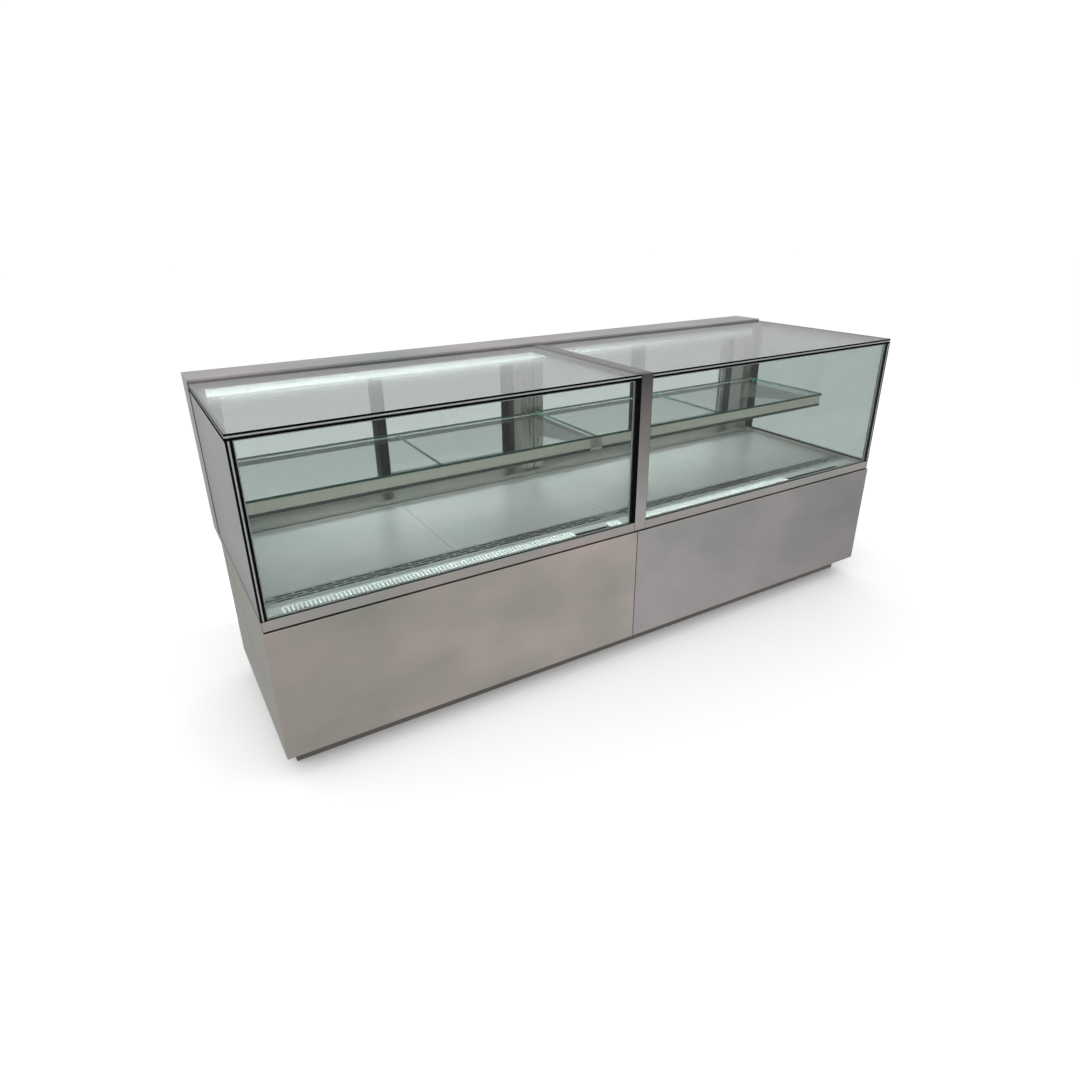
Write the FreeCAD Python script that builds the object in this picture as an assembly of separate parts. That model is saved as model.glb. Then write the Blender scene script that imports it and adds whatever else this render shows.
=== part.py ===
import FreeCAD, Part
import math
import os
from FreeCAD import Vector

# Refrigerated bakery display case: two four-foot sections joined end to end.
# Shapes are drawn in case coordinates: x from the left end, y from the front glass
# towards the staff side, z from a datum under the floor, which the leveling feet reach
# when they are wound right down. save() moves them to the part's own frame, whose origin
# is on the floor at the middle of the case's length and depth.

# ---- driving dimensions, millimetres ----
SECTION = 1219.0
LENGTH = 2 * SECTION
PANEL_PROUD = 6.0
FRONT_RETURN = 12.0
REAR = 814.0
DEPTH = REAR + PANEL_PROUD
FLOOR = 21.0
TOE = 100.0
PANEL_BOTTOM = 94.0
PANEL_TOP = 503.0
RIM = 507.0
GLASS_BOTTOM = 535.0
GLASS_TOP = 1034.0
CAP_TOP = 1042.0
SHEET = 1.5
THICK_SHEET = 2.0
SEAM = 0.5

# insulated glass units
PANE = 5.0
GLASS_GAP = 6.0
UNIT = 2 * PANE + GLASS_GAP
SPACER_WIDTH = 3.0
SPACER_INSET = 0.4
BEAD = 1.5
TOP_UNDERSIDE = GLASS_TOP - UNIT
END_GLASS_REAR = 665.0
TOP_GLASS_REAR = 669.0

# centre post, flush with the front glass
POST_X0 = 1210.0
POST_X1 = 1254.0
POST_DEPTH = 30.0
POST_SEAL = 18.5

# base
BASE_REAR = 655.0
TUBE = 40.0
UPRIGHT = 30.0
TUBE_WALL = 3.0
TOE_FACE = 60.0
TOE_INSET = 32.0
FOOT_POSITIONS = ((110.0, 92.0), (1109.0, 92.0), (110.0, 600.0), (1109.0, 600.0))

# insulated tank under the deck
TANK_BOTTOM = 300.0
TANK_Y0 = 16.0
TANK_Y1 = 654.0
TANK_WALL = 34.0

# deck
DECK_TOP = 518.0
COVER_TOP = 522.0
COVER_Y0 = 22.3
COVER_Y1 = 98.0
LIP_TOP = 527.0
GRILLE_Y0 = 100.5
GRILLE_Y1 = 165.5
PAN_Y1 = 650.0
DECK_X0 = 19.0
RIB_PITCH = 12.0
RIB_WIDTH = 4.0
SLOT_PITCH = 58.0
SLOT_LENGTH = 50.0
SLOT_WIDTH = 7.0
SLOT_ROW_PITCH = 14.0
SLOT_ROWS = 4

# rear frame, sliding doors and work ledge
POST_Y0 = 690.0
POST_Y1 = 746.0
END_POST_X = 66.0
CENTER_POST_X = 1167.0
JAMB_Y0 = 747.0
JAMB_Y1 = 811.0
LEDGE_Y0 = 656.0
LEDGE_TOP = GLASS_BOTTOM
CHEEK = 16.0
CAP_Y0 = 671.8
HEADER_BOTTOM = 1009.0
LIGHT_X0 = 48.0
LIGHT_Y0 = 663.0
LIGHT_Y1 = 689.0
LIGHT_BOTTOM = 983.0
LENS_WALL = 1.5
TRACK_TOP = 1026.0
INNER_TRACK_Y = 764.0
OUTER_TRACK_Y = 796.0
DOOR_THICK = 22.0
DOOR_BOTTOM = 552.0
DOOR_TOP = 1010.0
DOOR_OVERLAP = 36.0
STILE = 36.0
RAIL = 34.0
DOOR_GLASS = 6.0

# shelf
SHELF_Y0 = 240.0
SHELF_Y1 = 655.0
SHELF_BOTTOM = 773.0
SHELF_GLASS = 8.0
SHELF_END_GAP = 43.0
SHELF_RAIL_HEIGHT = 46.0
SHELF_RAIL_SHADOW = 12.0
ARM_TOP = 758.0
STANDARD_Y0 = 678.0
STANDARD_WIDTH = 26.0
END_STANDARD_X = 52.5
SHELF_RAIL_X0 = 47.0
SHELF_RAIL_X1 = 1193.0
CENTER_STANDARD_X = 1202.0

# refrigeration
EVAP_FAN = (610.0, 420.0)
EVAP_FAN_Y = 341.0
COND_FAN = (400.0, 198.0)
COND_FAN_Y = 575.0
SHAFT = 4.0
BORE_CLEARANCE = 0.05

# light switch
SWITCH_X = 1040.0
SWITCH_Z = 440.0
SWITCH_Y = 667.0


def box(x0, x1, y0, y1, z0, z1):
    return Part.makeBox(x1 - x0, y1 - y0, z1 - z0, Vector(x0, y0, z0))


def cylinder(radius, length, base, direction):
    return Part.makeCylinder(radius, length, Vector(*base), Vector(*direction))


def moved(shape, dx=0.0, dy=0.0, dz=0.0):
    copy = shape.copy()
    copy.translate(Vector(dx, dy, dz))
    return copy


def mirrored(shape):
    """The same shape at the other end of the case."""
    return shape.mirror(Vector(SECTION, 0, 0), Vector(1, 0, 0))


def repeated(shapes):
    """The left section's shapes and their copies in the right section."""
    return shapes + [moved(shape, SECTION) for shape in shapes]


def both_ends(shapes):
    """The left section's shapes and their mirror images."""
    return shapes + [mirrored(shape) for shape in shapes]


def save(name, shapes):
    """Write one node, its separate solids moved to the part's own frame."""
    solids = []
    for shape in shapes:
        solids.extend(shape.Solids)
    group = Part.makeCompound(solids)
    group.translate(Vector(-LENGTH / 2, PANEL_PROUD - DEPTH / 2, -FLOOR))
    group.exportStep("parts/" + name + ".step")


def tube(x0, x1, y0, y1, z0, z1, wall, axis):
    """A rectangular tube, open at both ends of its axis."""
    margin = {"x": (0, wall, wall), "y": (wall, 0, wall), "z": (wall, wall, 0)}[axis]
    mx, my, mz = margin
    outer = box(x0, x1, y0, y1, z0, z1)
    inner = box(x0 + mx, x1 - mx, y0 + my, y1 - my, z0 + mz, z1 - mz)
    return outer.cut(inner)


def pan(x0, x1, y0, y1, z0, z1, wall, open_face):
    """A folded sheet pan: a shallow box with one open face, such as "-z"."""
    outer = box(x0, x1, y0, y1, z0, z1)
    low = [x0 + wall, y0 + wall, z0 + wall]
    high = [x1 - wall, y1 - wall, z1 - wall]
    index = "xyz".index(open_face[1])
    if open_face[0] == "-":
        low[index] = low[index] - 2 * wall
    else:
        high[index] = high[index] + 2 * wall
    return outer.cut(box(low[0], high[0], low[1], high[1], low[2], high[2]))


def prism_yz(points, x0, x1):
    """An outline in the y-z plane, drawn out along x."""
    wire = Part.makePolygon([Vector(x0, y, z) for y, z in points + points[:1]])
    return Part.Face(wire).extrude(Vector(x1 - x0, 0, 0))


def slot_cutter(x0, y, z0, length, width, height):
    """A round-ended slot along x."""
    radius = width / 2
    middle = box(x0 + radius, x0 + length - radius, y - radius, y + radius, z0, z0 + height)
    ends = [cylinder(radius, height, (x, y, z0), (0, 0, 1)) for x in (x0 + radius, x0 + length - radius)]
    return middle.fuse(ends)


def pipe(points, bend, radius):
    """A round tube along straight runs that are joined by tangent arcs."""
    edges = []
    start = Vector(*points[0])
    for index in range(1, len(points) - 1):
        corner = Vector(*points[index])
        before = (Vector(*points[index - 1]) - corner).normalize()
        after = (Vector(*points[index + 1]) - corner).normalize()
        half = before.getAngle(after) / 2
        setback = bend / math.tan(half)
        enter = corner + before * setback
        leave = corner + after * setback
        inward = (before + after).normalize()
        middle = corner + inward * (bend / math.sin(half) - bend)
        edges.append(Part.LineSegment(start, enter).toShape())
        edges.append(Part.Arc(enter, middle, leave).toShape())
        start = leave
    edges.append(Part.LineSegment(start, Vector(*points[-1])).toShape())
    heading = Vector(*points[1]) - Vector(*points[0])
    section = Part.Wire([Part.makeCircle(radius, Vector(*points[0]), heading)])
    return Part.Wire(edges).makePipeShell([section], True, True)


# ---- base ----
def base_frame():
    parts = []
    z0 = TOE - TUBE
    rear_y = BASE_REAR - TUBE - 35.0
    front_y = TOE_FACE + THICK_SHEET
    for y in (front_y, rear_y):
        parts.append(tube(34, SECTION - 4, y, y + TUBE, z0, TOE, TUBE_WALL, "x"))
    for x in (34.0, SECTION / 2 - TUBE / 2, SECTION - 4 - TUBE):
        parts.append(tube(x, x + TUBE, front_y + TUBE, rear_y, z0, TOE, TUBE_WALL, "y"))
    for x in (4.0, SECTION - 4 - UPRIGHT):
        for y in (22.0, BASE_REAR - 7 - UPRIGHT):
            parts.append(tube(x, x + UPRIGHT, y, y + UPRIGHT, TOE + SHEET, TANK_BOTTOM, 2.0, "z"))
    save("base_frame", both_ends(parts))


def leveling_feet():
    pad_radius = 22.0
    frame_bottom = TOE - TUBE
    feet = []
    for x, y in FOOT_POSITIONS:
        pad = cylinder(pad_radius, 6.0, (x, y, FLOOR), (0, 0, 1))
        cone = Part.makeCone(pad_radius, 9.0, 8.0, Vector(x, y, FLOOR + 6.0))
        stud = cylinder(8.0, frame_bottom - FLOOR - 14.0, (x, y, FLOOR + 14.0), (0, 0, 1))
        nut = Part.Face(Part.makePolygon([
            Vector(x + 13 * math.cos(math.radians(a)), y + 13 * math.sin(math.radians(a)), frame_bottom - 10)
            for a in range(0, 361, 60)])).extrude(Vector(0, 0, 10.0))
        feet.append(pad.fuse([cone, stud, nut]))
    save("leveling_feet", both_ends(feet))


def toe_kick_boards():
    bottom = FLOOR + 3.0
    front = box(TOE_INSET, SECTION - SEAM, TOE_FACE, TOE_FACE + THICK_SHEET, bottom, TOE - 2)
    side_x1 = TOE_INSET + THICK_SHEET - 0.3
    side = box(TOE_INSET, side_x1, TOE_FACE + THICK_SHEET, BASE_REAR - 20, bottom, TOE - 2)
    save("toe_kick_boards", both_ends([front, side]))


def machine_floor_pans():
    floor = box(3, SECTION - 1.5, 14, 648, TOE, TOE + SHEET)
    save("machine_floor_pans", both_ends([floor]))


def end_panels():
    skin = box(0, THICK_SHEET, FRONT_RETURN + 0.4, BASE_REAR, PANEL_BOTTOM, GLASS_BOTTOM)
    nose = box(0, THICK_SHEET, 0, FRONT_RETURN + 0.4, PANEL_TOP + 0.5, GLASS_BOTTOM)
    foot = box(THICK_SHEET, 20, 18, BASE_REAR, PANEL_BOTTOM, PANEL_BOTTOM + THICK_SHEET)
    stiffener = box(THICK_SHEET, 20, BASE_REAR - THICK_SHEET, BASE_REAR, PANEL_BOTTOM, TANK_BOTTOM)
    left = skin.fuse([nose, foot, stiffener])
    save("end_panels", both_ends([left]))


def front_panels():
    left = pan(0, SECTION - 1.5, -PANEL_PROUD, FRONT_RETURN, PANEL_BOTTOM, PANEL_TOP, SHEET, "+y")
    save("left_front_panel", [left])
    save("right_front_panel", [mirrored(left)])


def glass_sills():
    left = tube(2.5, POST_X0 - 1.5, 0, 22, RIM, GLASS_BOTTOM, SHEET, "x")
    right = tube(POST_X1 + 1, LENGTH - 2.5, 0, 22, RIM, GLASS_BOTTOM, SHEET, "x")
    end = tube(2.5, 18, 22.2, BASE_REAR, RIM, GLASS_BOTTOM, SHEET, "y")
    save("glass_sills", [left, right] + both_ends([end]))


# ---- cold deck ----
def tanks():
    outer = box(4, SECTION - 3, TANK_Y0, TANK_Y1, TANK_BOTTOM, RIM)
    inner = box(4 + TANK_WALL, SECTION - 3 - TANK_WALL, TANK_Y0 + TANK_WALL, TANK_Y1 - TANK_WALL,
                TANK_BOTTOM + TANK_WALL, RIM + 1)
    holes = [cylinder(10.3, TANK_WALL + 2, (950, 250, TANK_BOTTOM - 1), (0, 0, 1))]
    for x in (1112.0, 1140.0):
        holes.append(cylinder(9.0, TANK_WALL + 2, (x, 300, TANK_BOTTOM - 1), (0, 0, 1)))
    left = outer.cut(inner).cut(Part.makeCompound(holes))
    save("insulated_tanks", repeated([left]))


HONEYCOMB_SPANS = ((65.0, 1001.0), (1145.0, 1193.0), (1277.0, 2009.0))
OPEN_SLOT_SPANS = ((1005.0, 1141.0), (2014.0, 2311.0))
HONEYCOMB_Y0 = 30.0
HONEYCOMB_Y1 = 78.0


def discharge_covers():
    plate = box(DECK_X0, LENGTH - DECK_X0, COVER_Y0, COVER_Y1, COVER_TOP - THICK_SHEET, COVER_TOP)
    leg = box(DECK_X0, LENGTH - DECK_X0, COVER_Y0, COVER_Y0 + SHEET, RIM, COVER_TOP - THICK_SHEET)
    lip = box(DECK_X0, LENGTH - DECK_X0, COVER_Y1, COVER_Y1 + THICK_SHEET, RIM + 1, LIP_TOP)
    cover = plate.fuse([leg, lip])
    cuts = [box(POST_X0 - 15, POST_X1 + 6, 0, POST_DEPTH + 17, 500, 540)]
    cuts.append(box(SECTION - SEAM, SECTION + SEAM, 0, 120, 500, 540))
    for x0, x1 in HONEYCOMB_SPANS:
        cuts.append(box(x0, x1, HONEYCOMB_Y0, HONEYCOMB_Y1, 510, 530))
    for x0, x1 in OPEN_SLOT_SPANS:
        cuts.append(box(x0, x1, 46, 60, 510, 530))
    save("discharge_covers", [cover.cut(Part.makeCompound(cuts))])


def discharge_honeycombs():
    blocks = []
    for x0, x1 in HONEYCOMB_SPANS:
        block = box(x0 + 0.3, x1 - 0.3, HONEYCOMB_Y0 + 0.3, HONEYCOMB_Y1 - 0.3, 508, COVER_TOP + 1.5)
        count = int((x1 - x0 - RIB_WIDTH) / RIB_PITCH)
        margin = (x1 - x0 - count * RIB_PITCH + RIB_WIDTH) / 2
        cells = []
        for index in range(count):
            x = x0 + margin + index * RIB_PITCH
            cells.append(box(x, x + RIB_PITCH - RIB_WIDTH, HONEYCOMB_Y0 + 3, HONEYCOMB_Y1 - 3, 500, 530))
        blocks.append(block.cut(Part.makeCompound(cells)))
    save("discharge_honeycombs", blocks)


def air_grilles():
    grille = pan(DECK_X0, SECTION - SEAM, GRILLE_Y0, GRILLE_Y1, RIM, DECK_TOP, SHEET, "-z")
    slots = []
    for row in range(SLOT_ROWS):
        y = GRILLE_Y0 + 12 + row * SLOT_ROW_PITCH
        start = DECK_X0 + 14 + (row % 2) * SLOT_PITCH / 2
        count = int((SECTION - 20 - start) / SLOT_PITCH)
        for index in range(count):
            x = start + index * SLOT_PITCH
            slots.append(slot_cutter(x, y, DECK_TOP - 5, SLOT_LENGTH, SLOT_WIDTH, 10))
    left = grille.cut(Part.makeCompound(slots))
    save("air_grilles", [left, moved(left, SECTION - DECK_X0 + SEAM)])


def deck_pans():
    half = (SECTION + DECK_X0) / 2
    pans = []
    for x0, x1 in ((DECK_X0, half - SEAM), (half + SEAM, SECTION - SEAM)):
        pans.append(pan(x0, x1, GRILLE_Y1 + 0.5, PAN_Y1, RIM, DECK_TOP, SHEET, "-z"))
    save("deck_pans", both_ends(pans))


# ---- insulated glass ----
def unit_between(x0, x1, y0, y1, z0, z1, axis):
    """Two panes of a glass unit and the four spacer bars between them."""
    panes = []
    low = {"x": x0, "y": y0, "z": z0}[axis]
    for start in (low, low + PANE + GLASS_GAP):
        span = {"x": [x0, x1], "y": [y0, y1], "z": [z0, z1]}
        span[axis] = [start, start + PANE]
        panes.append(box(*span["x"], *span["y"], *span["z"]))
    gap = {"x": [x0, x1], "y": [y0, y1], "z": [z0, z1]}
    gap[axis] = [low + PANE, low + PANE + GLASS_GAP]
    first, second = [name for name in "xyz" if name != axis]
    a0, a1 = gap[first][0] + SPACER_INSET, gap[first][1] - SPACER_INSET
    b0, b1 = gap[second][0] + SPACER_INSET, gap[second][1] - SPACER_INSET
    bars = []
    for c0, c1, d0, d1 in ((a0, a1, b0, b0 + SPACER_WIDTH), (a0, a1, b1 - SPACER_WIDTH, b1),
                           (a0, a0 + SPACER_WIDTH, b0 + SPACER_WIDTH, b1 - SPACER_WIDTH),
                           (a1 - SPACER_WIDTH, a1, b0 + SPACER_WIDTH, b1 - SPACER_WIDTH)):
        bar = dict(gap)
        bar[first] = [c0, c1]
        bar[second] = [d0, d1]
        bars.append(box(*bar["x"], *bar["y"], *bar["z"]))
    return panes, bars


def glass_units():
    z0 = GLASS_BOTTOM + BEAD
    z1 = TOP_UNDERSIDE - BEAD
    units = {
        "left_front_glass": [(UNIT + BEAD, POST_X0 - 1 - POST_SEAL, 0, UNIT, z0, z1, "y")],
        "right_front_glass": [(POST_X1 + 1, LENGTH - UNIT - BEAD, 0, UNIT, z0, z1, "y")],
        "top_glass": [(0, POST_X0 - BEAD, 0, TOP_GLASS_REAR, TOP_UNDERSIDE, GLASS_TOP, "z"),
                      (POST_X1 + BEAD, LENGTH, 0, TOP_GLASS_REAR, TOP_UNDERSIDE, GLASS_TOP, "z")],
        "end_glass": [(0, UNIT, 0, END_GLASS_REAR, z0, z1, "x"),
                      (LENGTH - UNIT, LENGTH, 0, END_GLASS_REAR, z0, z1, "x")],
    }
    spacers = []
    for name, extents in units.items():
        panes = []
        for extent in extents:
            unit_panes, bars = unit_between(*extent)
            panes.extend(unit_panes)
            spacers.extend(bars)
        save(name, panes)
    save("glass_spacers", spacers)


def glass_seals():
    z0 = GLASS_BOTTOM + BEAD
    z1 = TOP_UNDERSIDE - BEAD
    seals = []
    for x0, x1 in ((UNIT + BEAD, POST_X0 - 1), (POST_X1 + 1, LENGTH - UNIT - BEAD)):
        seals.append(box(x0, x1, 0, UNIT, GLASS_BOTTOM, z0))
    for x0, x1 in ((UNIT, POST_X0 - BEAD), (POST_X1 + BEAD, LENGTH - UNIT)):
        seals.append(box(x0, x1, 0, UNIT, z1, TOP_UNDERSIDE))
    ends = [
        box(0, UNIT, 0, END_GLASS_REAR, GLASS_BOTTOM, z0),
        box(0, UNIT, 0, END_GLASS_REAR, z1, TOP_UNDERSIDE),
        box(UNIT, UNIT + BEAD, 0, UNIT, z0, z1),
        box(0, UNIT, END_GLASS_REAR, CAP_Y0, GLASS_BOTTOM + 0.8, TOP_UNDERSIDE),
        box(3, POST_X0 - 2, 12.5, 15.5, 485, RIM - 0.3),
    ]
    seals.extend(both_ends(ends))
    seals.append(box(POST_X0 - 1 - POST_SEAL, POST_X0 - 0.2, 0, UNIT, z0, z1))
    seals.append(box(POST_X0 - BEAD, POST_X0, POST_DEPTH, CAP_Y0, TOP_UNDERSIDE, GLASS_TOP))
    seals.append(box(POST_X1, POST_X1 + BEAD, POST_DEPTH, CAP_Y0, TOP_UNDERSIDE, GLASS_TOP))
    for x0, x1 in ((0, POST_X0 - BEAD), (POST_X1 + BEAD, LENGTH)):
        seals.append(box(x0, x1, TOP_GLASS_REAR, CAP_Y0, TOP_UNDERSIDE, GLASS_TOP))
    save("glass_seals", seals)


def center_front_post():
    post = tube(POST_X0, POST_X1, 0, POST_DEPTH, RIM, GLASS_TOP - THICK_SHEET, THICK_SHEET, "z")
    top = box(POST_X0, POST_X1, 0, POST_DEPTH, GLASS_TOP - THICK_SHEET, GLASS_TOP)
    save("center_front_post", [post.fuse(top)])


def center_top_rail():
    bar = box(POST_X0, POST_X1, POST_DEPTH, CAP_Y0 - 0.3, TOP_UNDERSIDE - 6, GLASS_TOP)
    flange = box(POST_X0 - 14, POST_X1 + 14, POST_DEPTH, CAP_Y0 - 0.3, TOP_UNDERSIDE - 6, TOP_UNDERSIDE - 0.5)
    save("center_top_rail", [bar.fuse(flange)])


# ---- shelf ----
def shelf_glass_panes():
    middle = (SHELF_END_GAP + SECTION) / 2
    panes = []
    for x0, x1 in ((SHELF_END_GAP, middle - SEAM), (middle + SEAM, SECTION - SEAM)):
        panes.append(box(x0, x1, SHELF_Y0, SHELF_Y1, SHELF_BOTTOM, SHELF_BOTTOM + SHELF_GLASS))
    save("shelf_glass_panes", both_ends(panes))


def shelf_rails():
    z0 = SHELF_BOTTOM - SHELF_RAIL_HEIGHT
    x0, x1 = SHELF_RAIL_X0, SHELF_RAIL_X1
    front_plate = box(x0, x1, 244, 246, z0, SHELF_BOTTOM)
    front_foot = box(x0, x1, 246, 258, SHELF_BOTTOM - 2, SHELF_BOTTOM)
    ticket_lip = box(x0, x1, 241, 244, z0 + SHELF_RAIL_SHADOW, z0 + SHELF_RAIL_SHADOW + 2)
    front = front_plate.fuse([front_foot, ticket_lip])
    rear = box(x0, SECTION - 2, 636, 648, ARM_TOP, SHELF_BOTTOM)
    save("shelf_rails", both_ends([front, rear]))


def bracket(x):
    """A tapered cantilever arm with two hooks for the slotted standard."""
    outline = [(246.0, 744.0), (246.0, ARM_TOP), (676.0, ARM_TOP), (676.0, 672.0), (640.0, 690.0)]
    arm = prism_yz(outline, x - 1.5, x + 1.5)
    hooks = [box(x - 1.5, x + 1.5, 676.0, 684.0, z, z + 8.0) for z in (691.0, 729.0)]
    return arm.fuse(hooks)


def shelf_brackets():
    head = box(SHELF_RAIL_X1 + 0.3, SECTION - 1, 246, 262, 741, SHELF_BOTTOM - 1)
    center = bracket(CENTER_STANDARD_X).fuse(head)
    save("shelf_brackets", both_ends([bracket(END_STANDARD_X), center]))


def standard(x, y, z0, z1):
    """A slotted U channel that shelf brackets hook into."""
    half = STANDARD_WIDTH / 2
    outer = box(x - half, x + half, y, y + 11.5, z0, z1)
    inner = box(x - half + THICK_SHEET, x + half - THICK_SHEET, y + THICK_SHEET, y + 12, z0 - 1, z1 + 1)
    slots = []
    z = z0 + 15
    while z < z1 - 25:
        slots.append(box(x - 2.5, x + 2.5, y - 1, y + 3, z, z + 12))
        z = z + 19
    return outer.cut(inner).cut(Part.makeCompound(slots))


def shelf_standards():
    z0 = 541.0
    z1 = 975.0
    end = standard(END_STANDARD_X, STANDARD_Y0, z0, z1)
    center = standard(CENTER_STANDARD_X, STANDARD_Y0, z0, z1)
    front = standard((POST_X0 + POST_X1) / 2, POST_DEPTH + 0.2, 560.0, 1000.0)
    save("shelf_standards", both_ends([end, center]) + [front])


# ---- rear frame ----
def rear_posts():
    post_top = HEADER_BOTTOM - 0.3
    end = tube(CHEEK + 1, END_POST_X, POST_Y0, POST_Y1, LEDGE_TOP, post_top, SHEET, "z")
    center = tube(CENTER_POST_X, SECTION - SEAM, POST_Y0, POST_Y1, LEDGE_TOP, post_top, SHEET, "z")
    cheek = tube(0, CHEEK, CAP_Y0 + 0.2, REAR, LEDGE_TOP, GLASS_TOP, SHEET, "z")
    save("rear_posts", both_ends([end, center, cheek]))


def rear_headers():
    header = pan(CHEEK + 1, SECTION - SEAM, 676, 746, HEADER_BOTTOM, GLASS_TOP - 0.5, SHEET, "+z")
    save("rear_headers", both_ends([header]))


def light_bars():
    """A trough-shaped opal lens that clips round its housing and LED strip."""
    top = HEADER_BOTTOM - 0.2
    middle = top - 8.0
    wall = LENS_WALL
    lens = box(LIGHT_X0, SECTION - 1, LIGHT_Y0, LIGHT_Y1, LIGHT_BOTTOM, top)
    low_edges = [edge for edge in lens.Edges
                 if edge.BoundBox.XLength > 100 and edge.BoundBox.ZMax < LIGHT_BOTTOM + 1]
    lens = lens.makeFillet(9.0, low_edges)
    hollow = box(LIGHT_X0 + wall, SECTION - 1 - wall, LIGHT_Y0 + wall, LIGHT_Y1 - wall,
                 LIGHT_BOTTOM + 9.0, top + 1)
    save("light_lenses", both_ends([lens.cut(hollow)]))
    x0 = LIGHT_X0 + wall + 0.3
    x1 = SECTION - 1 - wall - 0.3
    housing = box(x0, x1, LIGHT_Y0 + wall + 0.3, LIGHT_Y1 - wall - 0.3, middle, top)
    save("light_housings", both_ends([housing]))
    center_y = (LIGHT_Y0 + LIGHT_Y1) / 2
    strip = box(x0 + 4, x1 - 4, center_y - 6, center_y + 6, middle - 1.6, middle)
    save("led_strips", both_ends([strip]))


def rear_caps():
    top = pan(0, SECTION - SEAM, CAP_Y0, REAR, GLASS_TOP + 0.3, CAP_TOP, SHEET, "-z")
    drop = box(CHEEK + 1, SECTION - SEAM, REAR - SHEET, REAR, GLASS_TOP - 28, GLASS_TOP + 0.3)
    save("rear_caps", both_ends([top.fuse(drop)]))


def rear_ledges():
    ledge = pan(0, SECTION - SEAM, LEDGE_Y0, REAR, RIM, LEDGE_TOP, SHEET, "-z")
    save("rear_ledges", both_ends([ledge]))


def door_jambs():
    end = tube(CHEEK + 1, END_POST_X, JAMB_Y0, JAMB_Y1, LEDGE_TOP, TRACK_TOP, 2.5, "z")
    center = tube(CENTER_POST_X, SECTION - SEAM, JAMB_Y0, JAMB_Y1, LEDGE_TOP, TRACK_TOP, 2.5, "z")
    save("door_jambs", both_ends([end, center]))


def door_tracks():
    x0 = END_POST_X + 0.3
    x1 = CENTER_POST_X - 0.3
    lower = box(x0, x1, JAMB_Y0 + 0.5, JAMB_Y1 - 0.5, LEDGE_TOP, 541)
    ribs = [box(x0, x1, y - 2, y + 2, 541, 549) for y in (INNER_TRACK_Y, OUTER_TRACK_Y)]
    upper = box(x0, x1, JAMB_Y0 + 0.5, JAMB_Y1 - 0.5, 1021, TRACK_TOP)
    walls = []
    for y in (JAMB_Y0 + 0.5, (INNER_TRACK_Y + OUTER_TRACK_Y) / 2 - 1, JAMB_Y1 - 2.5):
        walls.append(box(x0, x1, y, y + 2, 1003, 1021))
    save("door_tracks", both_ends([lower.fuse(ribs), upper.fuse(walls)]))


def door(x0, x1, track_y, stile_on_right):
    """Frame bars, meeting stile, glides and glass of one sliding door."""
    y0 = track_y - DOOR_THICK / 2
    y1 = track_y + DOOR_THICK / 2
    narrow = 24.0
    if stile_on_right:
        meet0, meet1, side0, side1 = x1 - STILE, x1, x0, x0 + narrow
    else:
        meet0, meet1, side0, side1 = x0, x0 + STILE, x1 - narrow, x1
    inner0 = min(meet1, side1)
    inner1 = max(meet0, side0)
    groove = box(inner0 - 8, inner1 + 8, track_y - DOOR_GLASS / 2 - 0.3, track_y + DOOR_GLASS / 2 + 0.3,
                 DOOR_BOTTOM + RAIL - 8, DOOR_TOP - RAIL + 8)
    side = box(side0, side1, y0, y1, DOOR_BOTTOM, DOOR_TOP)
    bottom = box(inner0, inner1, y0, y1, DOOR_BOTTOM, DOOR_BOTTOM + RAIL)
    top = box(inner0, inner1, y0, y1, DOOR_TOP - RAIL, DOOR_TOP)
    frame = side.fuse([bottom, top]).cut(groove)
    stile = box(meet0, meet1, y0, y1, DOOR_BOTTOM, DOOR_TOP).cut(groove)
    glides = []
    for x in (x0 + 60, x1 - 100):
        pad = box(x, x + 40, track_y - 7, track_y + 7, 544, DOOR_BOTTOM)
        glides.append(pad.cut(box(x - 1, x + 41, track_y - 2.1, track_y + 2.1, 540, 549.1)))
    glass = box(inner0 - 7.5, inner1 + 7.5, track_y - DOOR_GLASS / 2, track_y + DOOR_GLASS / 2,
                DOOR_BOTTOM + RAIL - 7.5, DOOR_TOP - RAIL + 7.5)
    return [frame, stile] + glides, [glass]


def sliding_doors():
    opening0 = END_POST_X + 1.0
    opening1 = CENTER_POST_X - 1.0
    next_opening = LENGTH - CENTER_POST_X - END_POST_X
    width = (opening1 - opening0 + DOOR_OVERLAP) / 2
    left = door(opening0, opening0 + width, INNER_TRACK_Y, True)
    right = door(opening1 - width, opening1, OUTER_TRACK_Y, False)
    places = ((left, 0), (right, 0), (left, next_opening), (right, next_opening))
    for number, (pieces, shift) in enumerate(places, 1):
        frame, glass = pieces
        save("door_%d_frame" % number, [moved(shape, shift) for shape in frame])
        save("door_%d_glass" % number, [moved(shape, shift) for shape in glass])


# ---- staff-side service panels and controls ----
def service_panels():
    y0 = BASE_REAR + 0.5
    panel = box(3, SECTION - 1.5, y0, y0 + SHEET, 80, RIM - 3)
    cuts = []
    for x0 in (250.0, 410.0, 800.0, 960.0):
        for row in range(12):
            z = 120 + row * 14
            cuts.append(box(x0, x0 + 140, y0 - 1, y0 + 3, z, z + 6))
    cuts.append(cylinder(10.3, 10, (1150, y0 - 3, 120), (0, 1, 0)))
    panel = panel.cut(Part.makeCompound(cuts))
    save("rear_service_panels", repeated([panel]))
    head_y = y0 + SHEET
    screws = []
    for x in (30.0, 610.0, SECTION - 30.0):
        for z in (100.0, 485.0):
            screws.append(Part.makeCone(5.0, 3.0, 2.5, Vector(x, head_y, z), Vector(0, 1, 0)))
    save("panel_screws", repeated(screws))


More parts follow.
